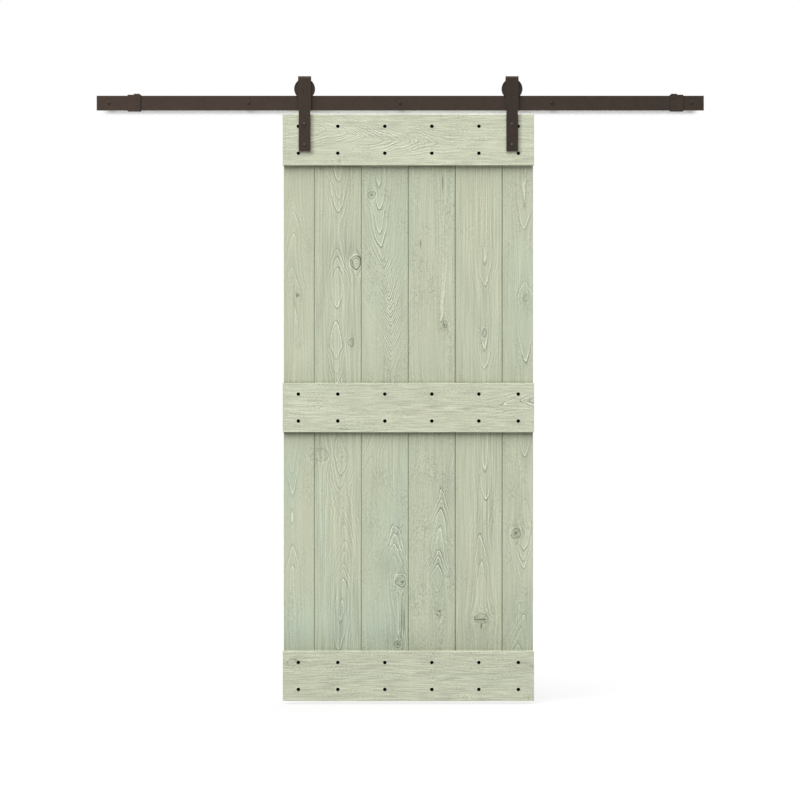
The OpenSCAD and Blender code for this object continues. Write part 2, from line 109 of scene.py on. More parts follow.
GRAIN["board_2"] = dict(
    lines=0.82, streak=0.75, stipple=0.0, width=[(0, 30), (BOTTOM, 30)],
    stains=[(0, 480, 75, 60, -0.06), (33, 497, 28, 34, -0.09), (20, 880, 40, 60, 0.05),
            (-45, 1430, 35, 170, 0.07), (0, 1440, 40, 150, 0.03), (60, 1800, 30, 120, -0.07),
            (-50, 1840, 40, 60, 0.05)],
    combed=[(40, 1830, 40, 120, 0.7)],
    rings=[(0, 0.4), (242, 1), (355, 2), (425, 2.45), (492, 2), (552, 1), (630, 0.6), (708, 1),
           (728, 1.15), (747, 1), (850, 0.6), (1000, 2.2), (1110, 3.3), (1170, 3), (1240, 2.6), (1312, 3),
           (1385, 4), (1410, 4.3), (1435, 4), (1555, 3), (1640, 2), (1687, 1), (1800, 0.5), (1945, 1),
           (BOTTOM, 1.8)],
    axis=[(0, -3), (355, -4), (552, 2), (747, -6), (1170, -8), (1300, 0), (1435, 10), (1555, 22),
          (1687, 12), (1945, 0), (BOTTOM, 0)],
    knots=[(62, 537, 20, 25, 0.9, 0.85), (44, 830, 11, 14, 0.8, 0.65), (-70, 1240, 30, 22, 0.6, 0.28)],
    tints=[(20, 1500, 60, 130, 0.3), (-60, 1500, 30, 180, -0.5), (0, 1860, 90, 120, -1.2),
           (0, 260, 90, 130, 0.7)],
)
GRAIN["board_3"] = dict(
    streak=0.28, stipple=0.25,
    width=[(0, 27), (1290, 27), (1340, 4), (1470, 4), (1500, 27), (BOTTOM, 27)],
    stains=[(-50, 320, 30, 60, 0.05), (-60, 770, 25, 130, 0.07), (60, 720, 25, 90, -0.07),
            (60, 1270, 25, 70, 0.06), (-32, 1310, 26, 50, -0.07), (2, 1640, 26, 60, -0.14),
            (55, 1660, 25, 50, -0.05), (20, 1910, 60, 30, -0.07)],
    combed=[(58, 1850, 20, 170, 1.8), (20, 1280, 60, 110, 0.6)],
    rings=[(0, 0.2), (250, 0.6), (340, 1), (480, 2), (559, 3), (584, 4), (610, 5), (887, 14), (956, 14.6),
           (1050, 14.4), (1170, 14.2), (1257, 14), (1330, 13.42), (1480, 13.1), (1510, 13), (1563, 12),
           (1640, 11.4), (1760, 11.2), (BOTTOM, 12.4)],
    axis=[(0, -30), (340, -27), (480, -22), (559, -8), (610, 6), (750, 17), (887, 17), (1000, 4),
          (1257, -53), (1340, -50), (1460, 28), (1563, 32), (1700, 40), (BOTTOM, 45)],
    knots=[(-52, 293, 13, 16, 0.9, 0.66), (54, 1699, 20, 22, 0.95, 0.62), (43, 1930, 13, 13, 0.9, 0.85),
           (37, 1512, 10, 15, 0.8, 0.3)],
    cracks=[(57, 1830, 1.6, 60), (66, 1850, 1.4, 45), (-52, 293, 3, 4), (60, 1703, 3, 4),
            (43, 1930, 4, 4)],
    tints=[(0, 420, 90, 330, -0.45), (20, 1600, 90, 320, -0.7), (50, 1400, 30, 160, -0.5),
           (-10, 1880, 90, 90, -1.0)],
)
GRAIN["board_4"] = dict(
    streak=0.38, stipple=0.4, width=[(0, 9), (1150, 9), (1230, 23), (BOTTOM, 23)],
    stains=[(0, 530, 30, 330, 0.045), (60, 590, 25, 60, 0.04), (50, 1390, 40, 120, -0.12),
            (30, 1620, 50, 50, -0.1), (-50, 1830, 40, 60, 0.06), (20, 1770, 50, 30, 0.04)],
    combed=[(45, 300, 30, 160, 0.5)],
    rings=[(0, 2.6), (300, 3.3), (700, 3.6), (1000, 3.9), (1239, 4.3), (1385, 4), (1434, 3), (1594, 2),
           (1636, 1), (1683, 0.72), (1731, 1), (1900, 1.7), (BOTTOM, 2.3)],
    axis=[(0, 40), (300, 48), (765, 35), (1239, 50), (1363, 26), (1385, 36), (1434, 33), (1594, 25),
          (1683, 18), (1818, 20), (BOTTOM, 10)],
    knots=[(43, 765, 10, 13, 0.9, 0.6), (20, 1818, 10, 12, 0.9, 0.5)],
    cracks=[(36, 250, 1.2, 26), (-44, 470, 1.4, 12), (16, 1822, 2, 3), (25, 1810, 2, 3), (43, 767, 2, 4)],
    tints=[(0, 500, 80, 300, 0.4), (40, 1650, 50, 160, -0.6)],
)
GRAIN["board_5"] = dict(
    streak=0.6, stipple=0.05, width=[(0, 24), (BOTTOM, 24)],
    stains=[(60, 500, 25, 60, 0.03), (-50, 1530, 30, 110, 0.045), (-20, 1880, 80, 60, -0.08)],
    combed=[(20, 1400, 40, 250, 0.6)],
    rings=[(0, 1.3), (540, 1.55), (624, 2), (680, 2.3), (850, 2.6), (918, 3), (970, 3.3), (1250, 3.5),
           (1398, 4), (1450, 4.2), (1546, 4), (1700, 3.3), (1838, 3), (2000, 3.4), (BOTTOM, 3.9)],
    axis=[(0, 10), (624, 19), (918, 19), (1398, 21), (1546, 2), (1838, 4), (BOTTOM, 5)],
    knots=[(18, 795, 8, 16, 0.9, 0.75), (5, 1836, 24, 17, 1.0, 0.5)],
    cracks=[(5, 1840, 19, 2.2), (6, 1862, 2.4, 9)],
    tints=[(0, 420, 90, 300, 0.5), (-10, 1700, 60, 160, 0.4), (-50, 2000, 40, 70, -0.6)],
)
GRAIN["board_6"] = dict(
    lines=0.82, streak=0.38, stipple=0.15, width=[(0, 22), (BOTTOM, 22)],
    stains=[(30, 510, 35, 80, 0.06), (35, 690, 40, 45, -0.07), (40, 1330, 25, 50, 0.05),
            (-40, 1370, 25, 60, -0.04), (10, 1830, 60, 140, -0.1)],
    rings=[(0, 1.2), (350, 1.6), (417, 2), (460, 2.2), (560, 2.3), (610, 2), (650, 1.7), (800, 1.6),
           (894, 2), (960, 2.3), (1180, 2.7), (1239, 3), (1320, 3.25), (1407, 3), (1490, 2.6), (1590, 3),
           (1643, 4), (1730, 4.4), (1828, 4), (1925, 3), (2000, 2.5), (BOTTOM, 2.2)],
    axis=[(0, 20), (417, 26), (894, 29), (1239, 24), (1407, 29), (1590, 22), (1828, 22), (1925, 0),
          (BOTTOM, 0)],
    knots=[(29, 668, 12, 15, 0.9, 0.3), (-7, 1525, 17, 19, 0.9, 0.5)],
    cracks=[(-7, 1525, 4, 5)],
    tints=[(10, 300, 60, 200, 0.5), (20, 650, 50, 200, -0.6), (0, 1900, 60, 160, -0.4)],
)
GRAIN["top_bar"] = dict(
    lines=0.62, streak=0.66, stipple=0.25, width=[(0, 44), (640, 44), (700, 16), (RIGHT, 16)],
    stains=[(-40, 120, 50, 160, 0.02), (40, 600, 50, 260, 0.02)],
    rings=[(0, 0.2), (157, 1), (235, 2), (262, 3), (288, 4), (362, 5), (426, 6), (490, 7), (553, 8),
           (640, 8.4), (RIGHT, 8.45)],
    axis=[(0, -40), (157, -36), (235, -22), (288, -12), (362, 0), (426, 5), (553, 12), (RIGHT, 20)],
    knots=[(78, 208, 6, 5, 0.6, 0.8)],
    # Painted light: the top bar a little lighter
    shade=[(0, 0.04), (RIGHT, 0.06)],
    tints=[(0, 700, 80, 260, 0.3)],
)
GRAIN["middle_bar"] = dict(
    streak=0.75, stipple=0.3, width=[(0, 12), (740, 12), (800, 24), (RIGHT, 24)],
    stains=[(0, 80, 90, 130, 0.05)],
    combed=[(4, 660, 16, 240, 0.6)],
    rings=[(0, 1.8), (500, 1.72), (800, 1.66), (872, 1), (RIGHT, 0.5)],
    axis=[(0, 0), (300, -2), (500, 5), (700, 8), (872, -26), (RIGHT, -28)],
    knots=[(0, 122, 7, 8, 0.7, 0.3), (76, 226, 5, 12, 0.7, 0.6)],
    shade=[(0, 0.0), (RIGHT, 0.0)],
    tints=[(0, 450, 80, 300, 0.2)],
)
GRAIN["bottom_bar"] = dict(
    streak=0.8, stipple=0.35, width=[(0, 14), (RIGHT, 14)],
    stains=[(60, 260, 40, 260, -0.02)],
    rings=[(0, 1.3), (RIGHT, 1.2)],
    axis=[(0, -40), (300, -58), (450, -66), (620, -56), (RIGHT, -48)],
    knots=[(-47, 35, 16, 18, 0.8, 0.3), (78, 666, 4, 9, 0.5, 0.6)],
    # Painted shade: the bottom bar darker
    shade=[(0, -0.055), (RIGHT, -0.075)],
    tints=[(60, 300, 40, 400, 0.3)],
)

# Shape of the ring field, in millimetres and rings
RING_STEP = 14.0
RING_BOW = 42.0
RING_DEPTH = 14.0
TIP_ROUND = 0.9
TIP_SHEAR = 1.7
TIP_REACH = 28.0
TIP_SLOPE = 0.006
TIP_STEEP = 1.3
FLATTEST = 0.01
PATH_BLUR = 61
FLOW_LENGTH = 1.5

# Slow random changes: size, cells across and along in millimetres, and which draw they take
DRIFTS = dict(
    ripple=(1.5, 9, 24, 0), fine_ripple=(0.7, 4, 9, 1), line=(0.6, 28, 90, 2),
    tint=(0.15, 70, 260, 3), shade=(0.02, 60, 240, 4), knot=(0.18, 13, 13, 6),
    streak=(0.2, 40, 300, 7), stipple=(0.5, 30, 60, 8), ring=(0.06, 34, 190, 9),
    fibre=(2.5, 45, 110, 10), axis=(4.0, 1, 85, 11),
)
DRIFT_GRID = 64
RING_DRAW = 5
RINGS_KEPT = 64
BOARD_SEED = 100
BAR_SEED = 300
SEED_STEP = 20

# Strength of the ring lines
BOLD = 1.3
FAINTEST_RING = 0.55
USUAL_PLACE = 0.75
FAINTEST_PLACE = 0.15
OFF_AXIS = 0.14
OFF_TIP = 0.42
TIP_TURN = 0.3
CLEAR_STEP = 6.0
CROWDED = 0.3

# Ring lines in the stain, with places in rings and widths in millimetres
BETWEEN_RINGS = 0.46
HALF_RING = 0.65
RIDGE_EDGE = (0.8, 2.2)
FURROW_PLACE = 3.4
FURROW_EDGE = (0.7, 2.1)
LINE_BREAKS = (0.34, 0.54, 0.45, 1.1)

# Knot rims, in half sizes: place, soft edge, strength and the patches that break them
KNOT_RIM = (0.97, (0.02, 0.12), 1.0, (0.36, 0.48, 0.35, 1.25))
KNOT_INNER = (0.62, (0.03, 0.12), 0.65, (0.46, 0.58, 1.0, 0.1))
KNOT_HALO = (1.2, (0.02, 0.14), 1.0, (0.42, 0.56, 0.8, 0.1))

# Fibres and dots round knots, with reaches in half sizes
KNOT_FAR = 9.0
KNOT_STREAK = 0.9
KNOT_STREAK_REACH = 2.6
KNOT_STIPPLE = 0.5
KNOT_STIPPLE_REACH = 2.2
CRACK_REACH = 1.6

# Share of the tints that shows, and the least of the fibres and dots
TINT_SHARE = 0.5
LEAST_STREAK = 0.15
LEAST_STIPPLE = 0.05

# Relief that brushing leaves, in millimetres and half sizes of a knot
RELIEF = 0.55
RIDGE_HALF = 1.7
KNOT_SINK = 0.25
KNOT_SHOULDER = (0.6, 1.1)
CRACK_SINK = 0.8
END_SINK = 0.8
BACK_SHARE = 0.5

# Noise in the wood, with waves in a metre across the grain and along it
FINE_ACROSS = 285.0
BROAD_WAVES = (26.0, 2.0)
DOT_WAVES = (300.0, 130.0)
SPECKLE_WAVES = 250.0
PATCH_WAVES = 38.0
LAYER_WAVES = (3.4, 2.4, 1.0)
DOT_EDGE = (0.53, 0.64)
FLECK_EDGE = (0.47, 0.36)
NOISE_SPAN = (0.3, 0.7)
WIDE_SPAN = (0.25, 0.75)
FIBRE_TONES = (-0.2, 0.17)
TONE_NOISE = dict(broad=0.018, layers=0.035, speckle=0.04)

# Surface of the wood: raised above zero, sunk below it
HEIGHTS = dict(ridge=1.0, fine=0.4, layers=0.3, halo=0.5, dot=-0.5, mark=-0.6, crack=-1.0)
WOOD_BUMP = 0.8 * MM
WOOD_ROUGHNESS = (0.72, 0.55)
WOOD_GLOSS = 0.22

# Powder coat, with waves in a metre
COAT_WAVES = 900.0
MOTTLE_WAVES = 36.0
COAT_SPECKLE = 0.14
COAT_MOTTLE = 0.08
DULL_MOTTLE = 0.06
COAT_BUMP = 0.12 * MM

# Steel and rubber, with waves in a metre and changes of tone and dullness
STEEL_WAVES = (260.0, 1600.0, 260.0)
CLOUD_WAVES = 90.0
STEEL_TONES = (0.88, 1.08)
STEEL_DULL = (-0.08, 0.1)
STEEL_BUMP = 0.03 * MM
RUBBER_WAVES = 1500.0
RUBBER_TONES = (0.8, 1.2)
RUBBER_DULL = (0.7, 0.85)
RUBBER_GLOSS = 0.3
RUBBER_BUMP = 0.1 * MM

# Painted shadow below the bars and painted shade above them, as pairs of strength and reach in
# millimetres
PAINTED_SHADOW_UNDER_BARS = [(0.28, 2.2), (0.25, 13.0), (0.07, 60.0)]
PAINTED_SHADE_ABOVE_BARS = [(0.3, 3.5), (0.1, 7.0), (0.13, 55.0)]
PAINTED_SHADE_DEPTH = 8.0 * MM

# Painted shadow beside and below the straps' feet, with distances in millimetres
PAINTED_STRAP_SHADOW = 0.36
STRAP_SHIFT = 6.0
STRAP_FADE = 13.0
STRAP_FOOT = 20.0

# How dark each joint between boards is from the left, with none on the door's own edges
JOINT_STAIN = (0.0, 0.5, 0.5, 0.75, 1.0, 0.95, 0.0)
BOARDS = len(JOINT_STAIN) - 1

# Joints: depths where they are dark and where the arris takes a painted highlight, and reach to each side
JOINT_DARK = (1.0 * MM, 2.2 * MM)
JOINT_REACH = 12.0 * MM
JOINT_BACK = (-2.5 * MM, -0.2 * MM)
ARRIS_RISE = (0.1 * MM, 0.7 * MM)
ARRIS_PAINTED_HIGHLIGHT = 0.27

# Painted highlight on the long edges of the bars, its width in mm, and how many times narrower the lower
# one is
PAINTED_EDGE_HIGHLIGHT = 0.13
PAINTED_EDGE_HIGHLIGHT_W = 3.0
LOWER_EDGE = 3

# Painted highlight round the screws in the bars
SCREW_RIM_HIGHLIGHT = 0.14

# Mesh of the wood, in metres, in half sizes of a knot and in radians
FRONT_STEP = 2.2 * MM
BACK_STEP = 5.0 * MM
SIDE_STEP = 5.0 * MM
VEE_STEP = 1.2 * MM
VEE_DEPTH = 3.0 * MM
BOARD_STEP = 6.0 * MM
BAR_STEP = 4.0 * MM
KNOT_STEP = 2.6 * MM
KNOT_SPAN = 1.7
END_EASE = 1.0 * MM
END_CLEAR = 1.2 * MM
EDGE_FADE = (2.0 * MM, 8.0 * MM)
TOUCH = 0.02 * MM
SMOOTH_ANGLE = math.radians(32)

# Fields of the wood that its shader reads, three to a vector on the mesh
STORED_FIELDS = dict(
    grain=("rho", "slope", "strength"), tone=("tint", "shade", "seam"),
    spot=("reach", "knot", "crack"), ground=("streak", "stipple", "shift"),
)

# Screw holes in the bars, in metres
HOLE_EASE = 0.75 * MM
HOLE_WALL = 0.1 * MM
HOLE_LIP = 0.05 * MM
HOLE_SINK = 0.35 * MM
HOLE_CONE = 3.6 * MM
HOLE_PATCH = 9.5 * MM

# Softening of the solids that stay
WELD_REACH = 0.01 * MM
FLAT_ANGLE = math.radians(0.5)
EDGE_ANGLE = math.radians(35)

# Camera: the frame is 2.91 m wide where the front of the door is
CAMERA_PLACE = (-0.00084, -12.05, -1.08075)
CAMERA_LENS = 148.47
CAMERA_SENSOR = 36.0

# Light
AMBIENT = 0.42
KEY_STRENGTH = 3.0
KEY_AZIMUTH = -28.0
KEY_ELEVATION = 47.0
KEY_ANGLE = 62.0
REAR_STRENGTH = 1.5
REAR_AZIMUTH = 140.0
REAR_ELEVATION = 40.0

# Floor and backdrop, in metres, with the glow and lightness of their paint
FLOOR_GAP = 12 * MM
FLOOR_HALF = 6
FLOOR_PAINT = (0.7, 0.25)
BACKDROP_PAINT = (0.17, 0.95)
BACKDROP_Y = 2 * MM
BACKDROP_UP = 10 * MM
BACKDROP_DOWN = 16 * MM
BACKDROP_INSET = 10 * MM
BACKDROP_FADE = 35 * MM


def placed(name, data):
    """A new object in the scene."""
    piece = bpy.data.objects.new(name, data)
    bpy.context.scene.collection.objects.link(piece)
    return piece


def corners_of(node):
    """Points of a solid's mesh."""
    return np.array([v.co for v in NODES[node].data.vertices])


def srgb(red, green, blue):
    """Linear colour of an 8-bit screen colour."""
    screen = np.array([red, green, blue]) / 255
    linear = np.where(screen > 0.04, ((screen + 0.055) / 1.055) ** 2.4, screen / 12.92)
    return (*map(float, linear), 1.0)


# Colours of the stained wood
WARM = srgb(199, 196, 170)
COOL = srgb(182, 196, 177)
LIGHT = srgb(244, 246, 230)
DARK = srgb(118, 128, 102)
KNOT_COLOUR = srgb(92, 101, 77)
SEAM_COLOUR = srgb(82, 97, 69)

# Marks in the stain, with their share and colour; the dark line beside each ring is partly painted shade
MARKS = (("furrow_shade", 0.85, DARK), ("dot", 0.5, DARK), ("fleck", 0.16, LIGHT))
KNOT_SHARE = 0.95
SEAMS = (("seam", 0.9), ("crack", 0.85))

# What the darkest painted shade leaves of each colour, so that it is greener, and where that starts
PAINTED_SHADE_TINT = (0.98, 1.0, 0.84, 1.0)
PAINTED_SHADE_TINT_FROM = (-0.3, -0.6)


# Node materials
class Shader:
    """Builds the nodes of a material or of the world with short calls."""

    def __init__(self, owner):
        owner.use_nodes = True
        self.owner = owner
        self.tree = owner.node_tree
        self.tree.nodes.clear()

    def add(self, kind, inputs=None, **settings):
        """Adds a node, with settings of its own and inputs that are values or sockets."""
        node = self.tree.nodes.new("ShaderNode" + kind)
        for name, value in settings.items():
            setattr(node, name, value)
        for name, value in (inputs or {}).items():
            if isinstance(value, bpy.types.NodeSocket):
                self.tree.links.new(value, node.inputs[name])
            else:
                node.inputs[name].default_value = value
        return node

    def maths(self, operation, *values):
        return self.add("Math", dict(enumerate(values)), operation=operation).outputs[0]

    def times(self, first, second):
        return self.maths("MULTIPLY", first, second)

    def ramp(self, value, start, end, low=0.0, high=1.0):
        """Smooth change from low at start to high at end."""
        inputs = dict(enumerate((value, start, end, low, high)))
        return self.add("MapRange", inputs, interpolation_type="SMOOTHSTEP").outputs[0]

    def vary(self, noise, low, high):
        """Noise spread between two values."""
        return self.ramp(noise, *NOISE_SPAN, low, high)

    def mix(self, share, first, second, blend="MIX"):
        inputs = {0: share, 6: first, 7: second}
        return self.add("Mix", inputs, data_type="RGBA", blend_type=blend).outputs[2]

    def brighten(self, colour, factor):
        return self.add("HueSaturation", {"Color": colour, "Value": factor}).outputs[0]

    def place(self):
        return self.add("TexCoord").outputs["Object"]

    def split(self, vector):
        return self.add("SeparateXYZ", {0: vector}).outputs

    def noise(self, vector, per_metre, detail=2.0):
        """Noise with its own count of waves in a metre along X, Y and Z."""
        scaled = self.add("VectorMath", {0: vector, 1: per_metre}, operation="MULTIPLY")
        inputs = {"Vector": scaled.outputs[0], "Scale": 1.0, "Detail": detail}
        return self.add("TexNoise", inputs).outputs[0]

    def finish(self, inputs, height, depth):
        """Closes the material with a bump of the given depth."""
        bump = self.add("Bump", {"Height": height, "Distance": depth})
        principled = self.add("BsdfPrincipled", {**inputs, "Normal": bump.outputs[0]})
        self.add("OutputMaterial", {"Surface": principled.outputs[0]})
        return self.owner


def stored_fields(s):
    """The fields that the mesh stores, by name."""
    fields = {}
    for vector, names in STORED_FIELDS.items():
        stored = s.add("Attribute", attribute_name=vector).outputs["Vector"]
        fields.update(zip(names, s.split(stored)))
    return fields


def ring_lines(s, part):
    """Raised light line on each ring and a dark line beside it, partly grain and partly painted highlight
    and shade, and a fainter pair between rings.
    """
    line = s.times(part["strength"], s.ramp(part["speckle"], *LINE_BREAKS))
    ridges, furrows = [], []
    for shift, share in ((0.0, 1.0), (BETWEEN_RINGS, HALF_RING)):
        shifted = s.maths("ADD", part["rho"], shift)
        from_ring = s.maths("SUBTRACT", shifted, s.maths("ROUND", shifted))
        offset = s.maths("DIVIDE", from_ring, s.maths("MAXIMUM", part["slope"], FLATTEST))
        beside = s.maths("ABSOLUTE", s.maths("SUBTRACT", offset, FURROW_PLACE))
        ridges.append(s.ramp(s.maths("ABSOLUTE", offset), *RIDGE_EDGE, share, 0.0))
        furrows.append(s.ramp(beside, *FURROW_EDGE, share, 0.0))
    return [s.times(line, s.maths("MAXIMUM", *pair)) for pair in (ridges, furrows)]


def broken_rim(s, reach, patch, place, edge, strength, gaps):
    """Soft ring round a knot that patches break."""
    away = s.maths("ABSOLUTE", s.maths("SUBTRACT", reach, place))
    return s.times(s.ramp(away, *edge, strength, 0.0), s.ramp(patch, *gaps))


def knot_marks(s, part, place):
    """Broken dark rims of each knot and a broken light rim outside, partly a painted highlight."""
    patch = s.noise(place, (PATCH_WAVES,) * 3)
    rims = (KNOT_RIM, KNOT_INNER, KNOT_HALO)
    rim, inner, halo = (broken_rim(s, part["reach"], patch, *values) for values in rims)
    return s.times(part["knot"], s.maths("MAXIMUM", rim, inner)), s.times(part["knot"], halo)


def flowing(s, place, shift, along):
    """Places moved across the grain, so that fibres flow round the knots."""
    across = s.add("CombineXYZ", {X if along == Z else Z: shift})
    inputs = {0: place, 1: across.outputs[0]}
    return s.add("VectorMath", inputs, operation="ADD").outputs[0]


def waves(across, lengthways, along):
    """Waves in a metre on each axis, for a grain that runs along one of them."""
    return tuple(lengthways if axis == along else across for axis in (X, Y, Z))


def total(s, *values):
    result = values[0]
    for value in values[1:]:
        result = s.maths("ADD", result, value)
    return result


def wood_parts(s, along, fibre_waves):
    """What the stain is made of: the stored fields, and fibres, dots, lines and knots from them."""
    part = stored_fields(s)
    place = s.place()
    grain = flowing(s, place, part["shift"], along)
    part["fine"] = s.noise(grain, waves(FINE_ACROSS, fibre_waves, along), 3.0)
    part["broad"] = s.noise(grain, waves(*BROAD_WAVES, along))
    part["speckle"] = s.noise(place, (SPECKLE_WAVES,) * 3)
    dots = s.noise(place, waves(*DOT_WAVES, along), 1.0)
    part["dot"] = s.times(s.ramp(dots, *DOT_EDGE), part["stipple"])
    part["fleck"] = s.times(s.ramp(dots, *FLECK_EDGE), part["stipple"])
    part["ridge"], part["furrow_shade"] = ring_lines(s, part)
    part["mark"], part["halo"] = knot_marks(s, part, place)
    lengthways = s.split(place)[along]
    layered = s.add("CombineXYZ", {0: part["rho"], 1: lengthways})
    part["layers"] = s.noise(layered.outputs[0], LAYER_WAVES, 3.0)
    return part


def wood_colour(s, plain, part):
    """Plain stain turned warm or cool, then its marks, light and shade, and the dark seams."""
    colour = s.mix(s.maths("MAXIMUM", part["tint"], 0.0), plain, WARM)
    coolness = s.maths("MAXIMUM", s.times(part["tint"], -1.0), 0.0)
    colour = s.mix(coolness, colour, COOL)
    for name, share, stain in MARKS:
        colour = s.mix(s.times(part[name], share), colour, stain)
    # Ring lines and knot halos: partly painted highlight
    colour = s.mix(s.maths("MAXIMUM", part["ridge"], part["halo"]), colour, LIGHT)
    colour = s.mix(s.maths("MINIMUM", part["mark"], KNOT_SHARE), colour, KNOT_COLOUR)
    fibre = s.times(s.vary(part["fine"], *FIBRE_TONES), part["streak"])
    noises = [s.vary(part[name], -size, size) for name, size in TONE_NOISE.items()]
    colour = s.brighten(colour, total(s, 1.0, part["shade"], fibre, *noises))
    # Painted shade: the darkest of it is turned greener
    colour = s.mix(s.ramp(part["shade"], *PAINTED_SHADE_TINT_FROM), colour, PAINTED_SHADE_TINT, "MULTIPLY")
    for name, share in SEAMS:
        colour = s.mix(s.times(part[name], share), colour, SEAM_COLOUR)
    return colour


def wood_height(s, part):
    """Raised lines, fibres and layers, less the dots, the rims of knots and the cracks."""
    return total(s, *(s.times(part[name], share) for name, share in HEIGHTS.items()))


def wood(s, plain, along, fibre_waves):
    """Stained pine: ring lines, fibres and dots along the grain, knots, tints and dark seams."""
    part = wood_parts(s, along, fibre_waves)
    rough = s.ramp(part["fine"], *WIDE_SPAN, *WOOD_ROUGHNESS)
    inputs = {"Base Color": wood_colour(s, plain, part), "Roughness": rough,
              "Specular IOR Level": WOOD_GLOSS}
    return s.finish(inputs, wood_height(s, part), WOOD_BUMP)


def coated_metal(s, colour, roughness, specular, painted_shade_to_right=0.0):
    """Powder coat: fine speckle, soft mottling, an orange-peel surface, and painted shade deeper towards
    +X.
    """
    place = s.place()
    speckle = s.noise(place, (COAT_WAVES,) * 3)
    mottle = s.noise(place, (MOTTLE_WAVES,) * 3, 3.0)
    to_right = s.split(place)[X]
    value = total(s, 1.0, s.vary(speckle, -COAT_SPECKLE, COAT_SPECKLE),
                  s.vary(mottle, -COAT_MOTTLE, COAT_MOTTLE), s.times(to_right, -painted_shade_to_right))
    rough = s.ramp(mottle, *WIDE_SPAN, roughness - DULL_MOTTLE, roughness + DULL_MOTTLE)
    inputs = {"Base Color": s.brighten(colour, value), "Roughness": rough,
              "Specular IOR Level": specular}
    return s.finish(inputs, speckle, COAT_BUMP)


def bare_steel(s, colour, roughness):
    """Plated or ground steel with faint machining streaks."""
    place = s.place()
    streak = s.noise(place, STEEL_WAVES)
    cloud = s.noise(place, (CLOUD_WAVES,) * 3)
    tone = s.brighten(colour, s.vary(cloud, *STEEL_TONES))
    rough = s.vary(streak, *(roughness + change for change in STEEL_DULL))
    return s.finish({"Base Color": tone, "Roughness": rough, "Metallic": 1.0}, streak, STEEL_BUMP)


def rubber(s, colour):
    """Matt moulded rubber with a fine grain."""
    grain = s.noise(s.place(), (RUBBER_WAVES,) * 3)
    tone = s.brighten(colour, s.vary(grain, *RUBBER_TONES))
    rough = s.vary(grain, *RUBBER_DULL)
    inputs = {"Base Color": tone, "Roughness": rough, "Specular IOR Level": RUBBER_GLOSS}
    return s.finish(inputs, grain, RUBBER_BUMP)


# Finishes: their maker, colour on the screen and what else the maker asks for
LOOKS = {
    # The last value of each bronze coat is painted shade that deepens it towards +X
    "bronze_coat": (coated_metal, (62, 51, 43), 0.5, 0.16, 0.19),
    "bronze_strap": (coated_metal, (56, 46, 39), 0.5, 0.16, 0.28),
    "bronze_bolt": (coated_metal, (54, 45, 38), 0.36, 0.3),
    "black_screw": (coated_metal, (5, 5, 5), 0.7, 0.05),
    "pad_rubber": (rubber, (46, 41, 37)),
    "zinc_steel": (bare_steel, (176, 176, 172), 0.38),
    "bearing_steel": (bare_steel, (196, 196, 196), 0.25),
    "stained_board": (wood, (192, 198, 173), Z, 3.6),
    "stained_bar": (wood, (200, 204, 180), X, 14.0),
}
FINISHES = {
    name: maker(Shader(bpy.data.materials.new(name)), srgb(*colour), *values)
    for name, (maker, colour, *values) in LOOKS.items()
}

# Which nodes take which finish, by the start of their names
METAL_NODES = {
    "bronze_coat": ("track_rail", "lag_bolts", "wall_spacer", "stop_body", "wheel"),
    "bronze_strap": ("hanger_strap", "axle_bolt", "stop_set_screws"),
    "bronze_bolt": ("strap_bolts",),
    "black_screw": ("top_bar_screws", "middle_bar_screws", "bottom_bar_screws"),
    "pad_rubber": ("stop_bumper",),
    "zinc_steel": ("strap_washers", "strap_nuts", "axle_nut", "axle_bush"),
    "bearing_steel": ("bearing",),
}

# Softened edges on the solids that stay, in millimetres
EDGE_SOFTENING = {
    "track_rail": 0.7, "hanger_strap": 0.7, "stop_body": 0.5, "stop_bumper": 0.5, "wheel": 0.4,
    "wall_spacer": 0.3, "strap_washers": 0.2, "axle_bush": 0.2, "bearing_inner": 0.2,
    "bearing_outer": 0.2,
}


def soften(piece, width):
    """Joins the split faces of a solid and rounds its sharp edges."""
    weld = piece.modifiers.new("weld", "WELD")
    weld.merge_threshold = WELD_REACH
    flat = piece.modifiers.new("flat", "DECIMATE")
    flat.decimate_type = "DISSOLVE"
    flat.angle_limit = FLAT_ANGLE
    bevel = piece.modifiers.new("edges", "BEVEL")
    bevel.width = width * MM
    bevel.segments = 2
    bevel.limit_method = "ANGLE"
    bevel.angle_limit = EDGE_ANGLE
    piece.modifiers.new("normals", "WEIGHTED_NORMAL")


def solids_named(starts):
    return [piece for name, piece in NODES.items() if name.startswith(starts)]


def finish_metal():
    """Gives every solid that stays its finish, and softens the edges that show."""
    for finish, starts in METAL_NODES.items():
        for piece in solids_named(starts):
            piece.data.materials.clear()
            piece.data.materials.append(FINISHES[finish])
    for start, width in EDGE_SOFTENING.items():
        for piece in solids_named(start):
            soften(piece, width)


# Ring field of the wood, in millimetres
def smoothstep(value, start, end):
    """Smooth change from 0 at start to 1 at end."""
    share = np.clip((value - start) / (end - start), 0, 1)
    return share * share * (3 - 2 * share)


def drift(kind, across, along, seed):
    """Smooth seeded noise of one kind, with a size and cells of its own."""
    size, cell_across, cell_along, draw = DRIFTS[kind]
    n = DRIFT_GRID
    grid = np.random.default_rng(seed + draw).uniform(-1, 1, (n, n))
    a, b = across / cell_across, along / cell_along
    i, j = np.floor(a).astype(int), np.floor(b).astype(int)
    p, q = smoothstep(a - i, 0, 1), smoothstep(b - j, 0, 1)
    near = grid[i % n, j % n] * (1 - p) + grid[(i + 1) % n, j % n] * p
    far = grid[i % n, (j + 1) % n] * (1 - p) + grid[(i + 1) % n, (j + 1) % n] * p
    return size * (near * (1 - q) + far * q)


